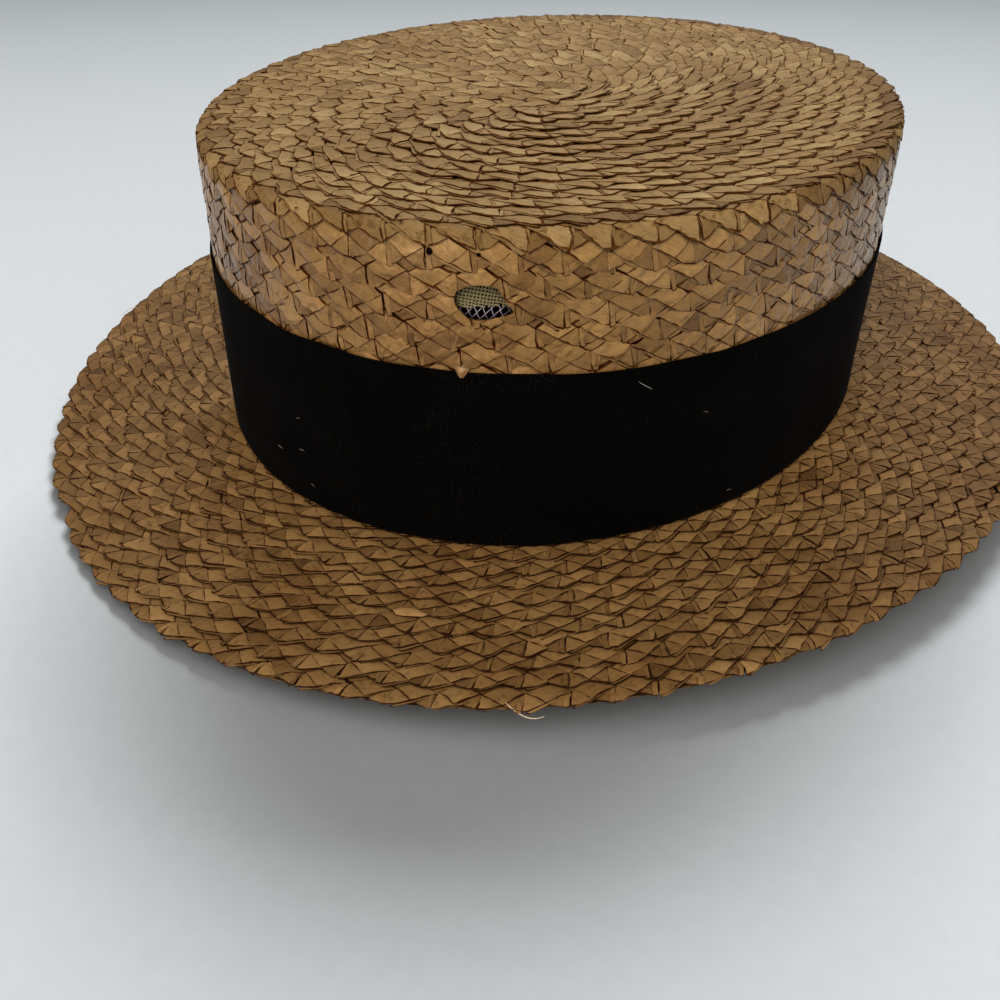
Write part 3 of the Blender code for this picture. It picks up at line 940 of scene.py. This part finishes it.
def onWall(down, degrees, off):
    return Vector(crownPoint(np.array(wallPlace(down)), np.array(math.radians(degrees)), np.array(off)))


def onBrim(out, degrees, off):
    return Vector(brimPoint(np.array(out), np.array(math.radians(degrees)), np.array(off)))


strays = {
    # where it lies, then (distance, turn in degrees, height) at its points, in mm
    "fibre_left": ("brim", (
        (46.0, -157.6, 0.2), (48.5, -158.2, 0.8), (50.5, -158.0, 1.8), (52.0, -157.0, 2.6))),
    "fibre_front": ("brim", (
        (47.6, -60.6, 0.2), (49.4, -59.6, 0.1), (50.3, -58.8, -0.4), (49.6, -57.6, -0.6))),
    "ribbon_thread": ("wall", (
        (33.2, -45.2, 1.1), (33.9, -44.6, 1.5), (34.6, -43.9, 1.4), (35.6, -43.2, 1.1))),
}
# Grey lint caught on the ribbon near its lower left, and a few short hairs elsewhere: how many, then
# from and to, for the distance below the tip, the turn in degrees and the length, in mm
lintBits = (
    {"count": 10, "down": (50, 71), "turn": (-138, -122), "size": (1.5, 4.0), "radius": 0.06},
    {"count": 6, "down": (32, 70), "turn": (-110, -20), "size": (0.8, 2.0), "radius": 0.05},
)


def makeStrays(strawPale, lint):
    for name, (where, places) in strays.items():
        isStraw = where == "brim"
        put = onBrim if isStraw else onWall
        points = [put(a * mm, turn, h * mm) for a, turn, h in places]
        addFibre(name, points, (0.16 if isStraw else 0.09) * mm, strawPale if isStraw else lint)
    rng = np.random.default_rng(53)
    for k, bit in enumerate([bit for bit in lintBits for _ in range(bit["count"])]):
        down, turn, size = [rng.uniform(*bit[key]) for key in ("down", "turn", "size")]
        way = rng.uniform(0, 2 * math.pi)
        bend = rng.normal(0, 0.5, 4)
        points = []
        for i in range(4):
            reach = size * (i / 3 - 0.5)
            at = (down + reach * math.sin(way) + 0.4 * bend[i]) * mm
            points.append(onWall(at, turn + reach * math.cos(way) / 1.6, (1.05 + 0.12 * i) * mm))
        addFibre(f"lint_{k + 1}", points, bit["radius"] * mm, lint, 3)


# A straw end that pokes out over the ribbon's top edge, and a pale husk caught in the brim, with
# their corners as the strays' points
looseTiles = {
    "poking_straw": {
        "corners": ((28.3, -69.4, -0.2), (28.4, -66.9, -0.2), (30.5, -67.8, 1.25), (30.5, -68.3, 1.25)),
        "tone": 0.3,
        "roundEnds": 0.0,
    },
    "pale_husk": {
        "corners": ((26.6, -73.3, 0.6), (25.8, -69.2, 0.6), (24.2, -69.4, 0.75), (23.6, -73.0, 0.8)),
        "tone": 0.82,
        "roundEnds": 0.4,
    },
}


def makeLooseTile(name, put, material, node):
    look = looseTiles[name]
    bm = bmesh.new()
    layers = {key: bm.verts.layers.float.new(key) for key in strandKeys}
    square = [Vector((0, 0)), Vector((1, 0)), Vector((1, 1)), Vector((0, 1))]
    strandTile(bm, {"tile": 0, "corners": square, "lifts": (0, 0, 0, 0), "dome": 0.18, "arch": 0.12,
                    "buried": (0.0, 0.0), "cuts": (4, 6), "thick": 0.12}, layers)
    bmesh.ops.recalc_face_normals(bm, faces=bm.faces)
    mesh = closeMesh(bm, name)
    low, lowEnd, highEnd, high = [np.array(c) for c in look["corners"]]
    points = []
    for v in mesh.vertices:
        s = v.co.x
        t = 0.5 + (v.co.y - 0.5) * max(0.0, 4 * s * (1 - s)) ** look["roundEnds"]
        at = (low * (1 - s) + lowEnd * s) * (1 - t) + (high * (1 - s) + highEnd * s) * t
        points.append(put(at[0] * mm, at[1], (at[2] + v.co.z * 1.2) * mm))
    along, across, _ = [readFloats(mesh, key, -1) for key in ("along", "across", "tile")]
    placeVertices(mesh, np.array(points))
    writeAttribute(mesh, "strand", "FLOAT_VECTOR", np.stack([along, across, 0 * along + 7.7], -1))
    writeAttribute(mesh, "tone", "FLOAT", 0 * along + look["tone"])
    finishPiece(addObject(name, mesh), material, node)


# Colours and settings for each straw; some also set painted shade, on buried ends, in crevices and along edge
# lines
strawLooks = {
    "tip": {
        "dark": "6f5633", "mid": "937a50", "light": "a79166", "pale": "c4ab82", "buriedShadowColor": "553b20",
        "grain": 0.75, "ageing": 0.4, "grime": 0.5, "dirtAndShade": 0.72, "sink": 0.35,
        "line": "92683c", "lineWidth": 0.06,
        "rough": (0.6, 0.8), "coat": 0.0, "gloss": 0.2,
        "bump": 0.6, "crinkle": 0.6, "crinkleSize": 2.381 * mm, "dent": 0.35 * mm,
    },
    "wall": {
        "dark": "52391d", "mid": "715631", "light": "8e7045", "pale": "ab8d62", "buriedShadowColor": "54381a",
        "grain": 0.6, "ageing": 0.4, "grime": 0.25, "dirtAndShade": 0.8, "sink": 0.4,
        "line": "774d22", "lineWidth": 0.05,
        "rough": (0.22, 0.36), "coat": 0.14, "gloss": 0.5,
        "bump": 0.45, "crinkle": 1.0, "crinkleSize": 3.03 * mm, "dent": 1.1 * mm,
        "pinholes": [(onWall(5.0 * mm, -72.1, 0.0), 0.9 * mm), (onWall(5.1 * mm, -65.9, 0.0), 0.55 * mm)],
    },
    "brim": {
        "dark": "4f371d", "mid": "735834", "light": "8a6c43", "pale": "bd9e72", "buriedShadowColor": "3c2410",
        "grain": 0.7, "ageing": 0.5, "grime": 0.45, "dirtAndShade": 0.95, "sink": 0.45,
        "line": "663c14", "lineWidth": 0.048,
        "rough": (0.5, 0.7), "coat": 0.0, "gloss": 0.3,
        "bump": 0.5, "crinkle": 0.7, "crinkleSize": 2.632 * mm, "dent": 0.35 * mm,
    },
}
# painted shade: the straw between the plait's faces is coloured darker than the brim's, as it shows only as
# shade between strands
strawLooks["core"] = dict(strawLooks["brim"], dark="3a2410", mid="4a3016", light="4a3016")

tipStraw = strawMaterial("crown_tip_straw", strawLooks["tip"])
wallStraw = strawMaterial("crown_wall_straw", strawLooks["wall"])
brimStraw = strawMaterial("brim_straw", strawLooks["brim"])
makeCrownOutside(tipStraw, wallStraw)
print("crown plait made")
makeCrownInside(tipStraw)
makeCores(strawMaterial("straw_between", strawLooks["core"]))
print("crown inside and cores made")
makeBrimTop(brimStraw)
makeBrimUnder(brimStraw)
print("brim made")
makeRibbon(ribbonMaterial())
makeGauze(threadMaterial("khaki_gauze", "6e6441"), threadMaterial("pale_net", "9d94a0"))
makeStrays(threadMaterial("pale_straw_fibre", "c6b496", 0.5), threadMaterial("grey_lint", "8a857c"))
makeLooseTile("poking_straw", onWall, wallStraw, "crown")
makeLooseTile("pale_husk", onBrim, brimStraw, "brim")
print("ribbon, gauze and stray bits made")


# Camera, from the photo's own view of the hat's ovals
camera = {
    "place": Vector((127.91, -231.24, 145.5)) * mm,
    "target": Vector((58.23, -121.32, 44.9)) * mm,
    "roll": math.radians(0.36),
    "focalPixels": 946.05,  # in an image 1000 pixels wide
}


def makeCamera():
    data = bpy.data.cameras.new("camera")
    obj = addObject("camera", data)
    back = (camera["place"] - camera["target"]).normalized()
    right = (-back).cross(Vector((0, 0, 1))).normalized()
    up = right.cross(-back)
    turnedRight = math.cos(camera["roll"]) * right + math.sin(camera["roll"]) * up
    turnedUp = -math.sin(camera["roll"]) * right + math.cos(camera["roll"]) * up
    matrix = Matrix((turnedRight, turnedUp, back)).transposed().to_4x4()
    matrix.translation = camera["place"]
    obj.matrix_world = matrix
    data.sensor_width = 36.0
    data.lens = camera["focalPixels"] / 1000 * data.sensor_width
    data.clip_start = 0.01
    bpy.context.scene.camera = obj


stage = {
    "floorHalf": 8.0,
    "floorZ": -0.2 * mm,
    # painted shade: the board darkens from front to back, standing in for the light falling off, along this
    # way and between these distances in metres
    "frontColor": "f6f7f6",
    "backColor": "8a8e8e",
    "darkenWay": (-0.5, 0.85, 0.0),
    "darkenFrom": -0.15,
    "darkenTo": 0.58,
    "worldColor": "f2f4f4",
    "worldStrength": 0.32,
}


def makeStage():
    bm = bmesh.new()
    bmesh.ops.create_grid(bm, x_segments=1, y_segments=1, size=stage["floorHalf"])
    floor = addObject("floor", closeMesh(bm, "floor"))
    floor.location.z = stage["floorZ"]
    material, add, shader = newMaterial("pale_board")  # painted board, matt, with a faint mottle
    coord = add("TexCoord", get="Object")
    mottle = add("TexNoise", Vector=coord, Scale=1 / (3.846 * mm), Detail=4.0)
    mottle = add("ValToRGB", {"stops": [(0.3, 0.97), (0.7, 1.0)]}, Fac=mottle)
    # painted shade: the board's colour darkens towards the back
    away = add("VectorMath", {"operation": "DOT_PRODUCT"}, "Value", i0=coord, i1=stage["darkenWay"])
    away = add("MapRange", Value=away, i1=stage["darkenFrom"], i2=stage["darkenTo"], i3=0.0, i4=1.0)
    stops = [(0.0, stage["frontColor"]), (1.0, stage["backColor"])]
    shade = add("ValToRGB", {"stops": stops}, Fac=away)
    color = add("Mix", multiply, mixed, i0=1.0, i6=shade, i7=mottle)
    feed(shader, Base_Color=color, Roughness=0.9)
    floor.data.materials.append(material)


# Soft boxes: place, what they point at, size, watts and colour. onFloor says whether the floor is
# all that a light reaches, or is left out of it.
lights = {
    "key_behind": {"place": (-0.85, 1.82, 1.64), "target": (0, 0, 0.03), "size": (1.6, 0.75), "power": 15,
                   "color": "f8faff"},
    # the floor gets more of the same light, and none from the front, so that the hat's shadow stays
    "key_on_floor": {"place": (-0.85, 1.80, 1.68), "target": (0, 0, 0.03), "size": (1.6, 0.75), "power": 64,
                     "color": "f6faff", "onFloor": "INCLUDE"},
    "front_fill": {"place": (0.34, -1.25, 1.69), "target": (0, -0.05, 0.04), "size": (1.6, 1.0), "power": 53,
                   "color": "fff4e8", "onFloor": "EXCLUDE"},
    # low and broad, for the glints on the wall's pressed straw
    "low_fill": {"place": (0.1, -1.6, 0.32), "target": (0, 0, 0.05), "size": (0.9, 0.5), "power": 6,
                 "color": "fff4e8", "onFloor": "EXCLUDE"},
    "right_fill": {"place": (1.9, 0.1, 0.9), "target": (0, 0, 0.04), "size": (1.0, 0.8), "power": 5,
                   "color": "fff4e8", "onFloor": "EXCLUDE"},
}


def makeLights():
    for name, light in lights.items():
        data = bpy.data.lights.new(name, "AREA")
        data.shape = "RECTANGLE"
        data.size, data.size_y = light["size"]
        data.energy = light["power"]
        data.color = linearColor(light["color"])[:3]
        obj = addObject(name, data)
        obj.location = light["place"]
        way = Vector(light["target"]) - Vector(light["place"])
        obj.rotation_euler = way.to_track_quat("-Z", "Y").to_euler()
        if "onFloor" in light:
            chosen = bpy.data.collections.new(f"{name}_floor")
            chosen.objects.link(bpy.data.objects["floor"])
            chosen.collection_objects[0].light_linking.link_state = light["onFloor"]
            obj.light_linking.receiver_collection = chosen
    world = bpy.data.worlds.new("studio")
    world.use_nodes = True
    feed(world.node_tree.nodes["Background"], Color=stage["worldColor"], Strength=stage["worldStrength"])
    bpy.context.scene.world = world


makeCamera()
makeStage()
makeLights()
bpy.context.scene.view_settings.view_transform = "Standard"
print("camera, floor and lights made")
